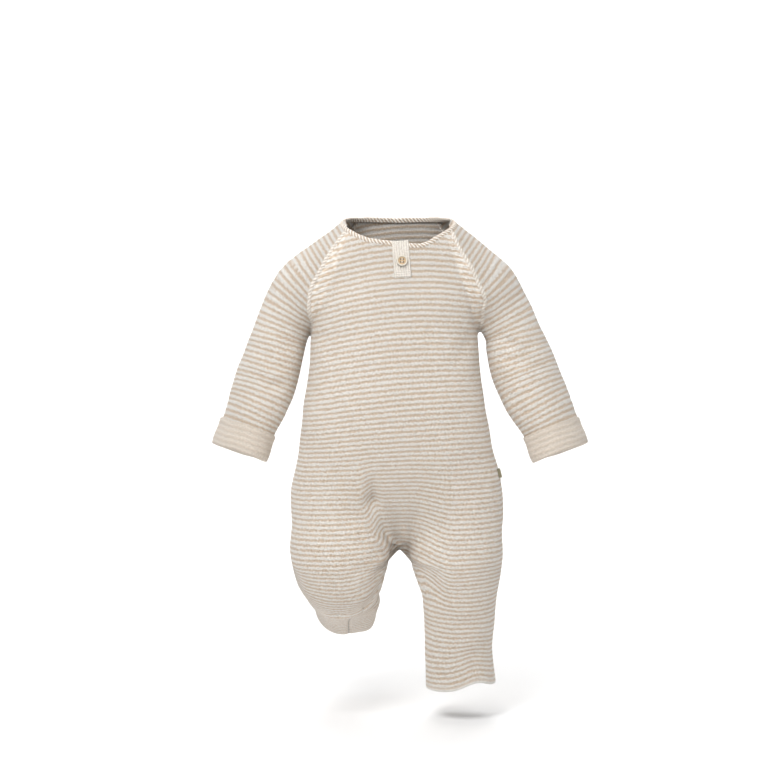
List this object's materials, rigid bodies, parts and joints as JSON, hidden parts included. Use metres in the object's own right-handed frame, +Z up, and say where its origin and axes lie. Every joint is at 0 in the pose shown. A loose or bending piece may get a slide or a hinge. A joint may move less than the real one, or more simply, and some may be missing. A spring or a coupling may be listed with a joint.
{
  "type": "baby romper",
  "caption": "Long-sleeved knitted baby romper with fine beige and cream stripes, raglan sleeves, turned-back cuffs and a buttoned neck tab, as worn.",
  "frame": {"origin": "middle of the neck opening, at the height of the shoulders", "axes": "+Z up, the front faces -Y, the wearer's left is +X"},
  "size_m": [0.4118, 0.2028, 0.519],
  "materials": {
    "striped_knit": "soft cotton knit, fine beige and cream stripes",
    "cream_rib": "cream cotton rib",
    "wood": "satin wood with a cream rim",
    "woven_tape": "plain woven tape"
  },
  "bodies": {
    "root": {"front": "striped_knit", "back": "striped_knit", "sleeve_right": "striped_knit", "sleeve_left": "striped_knit", "neckband": "cream_rib", "raglan_seam_front_right": "cream_rib", "raglan_seam_back_right": "cream_rib", "raglan_seam_front_left": "cream_rib", "raglan_seam_back_left": "cream_rib", "placket": "cream_rib", "button": "wood", "side_label": "woven_tape"}
  },
  "joints": []
}
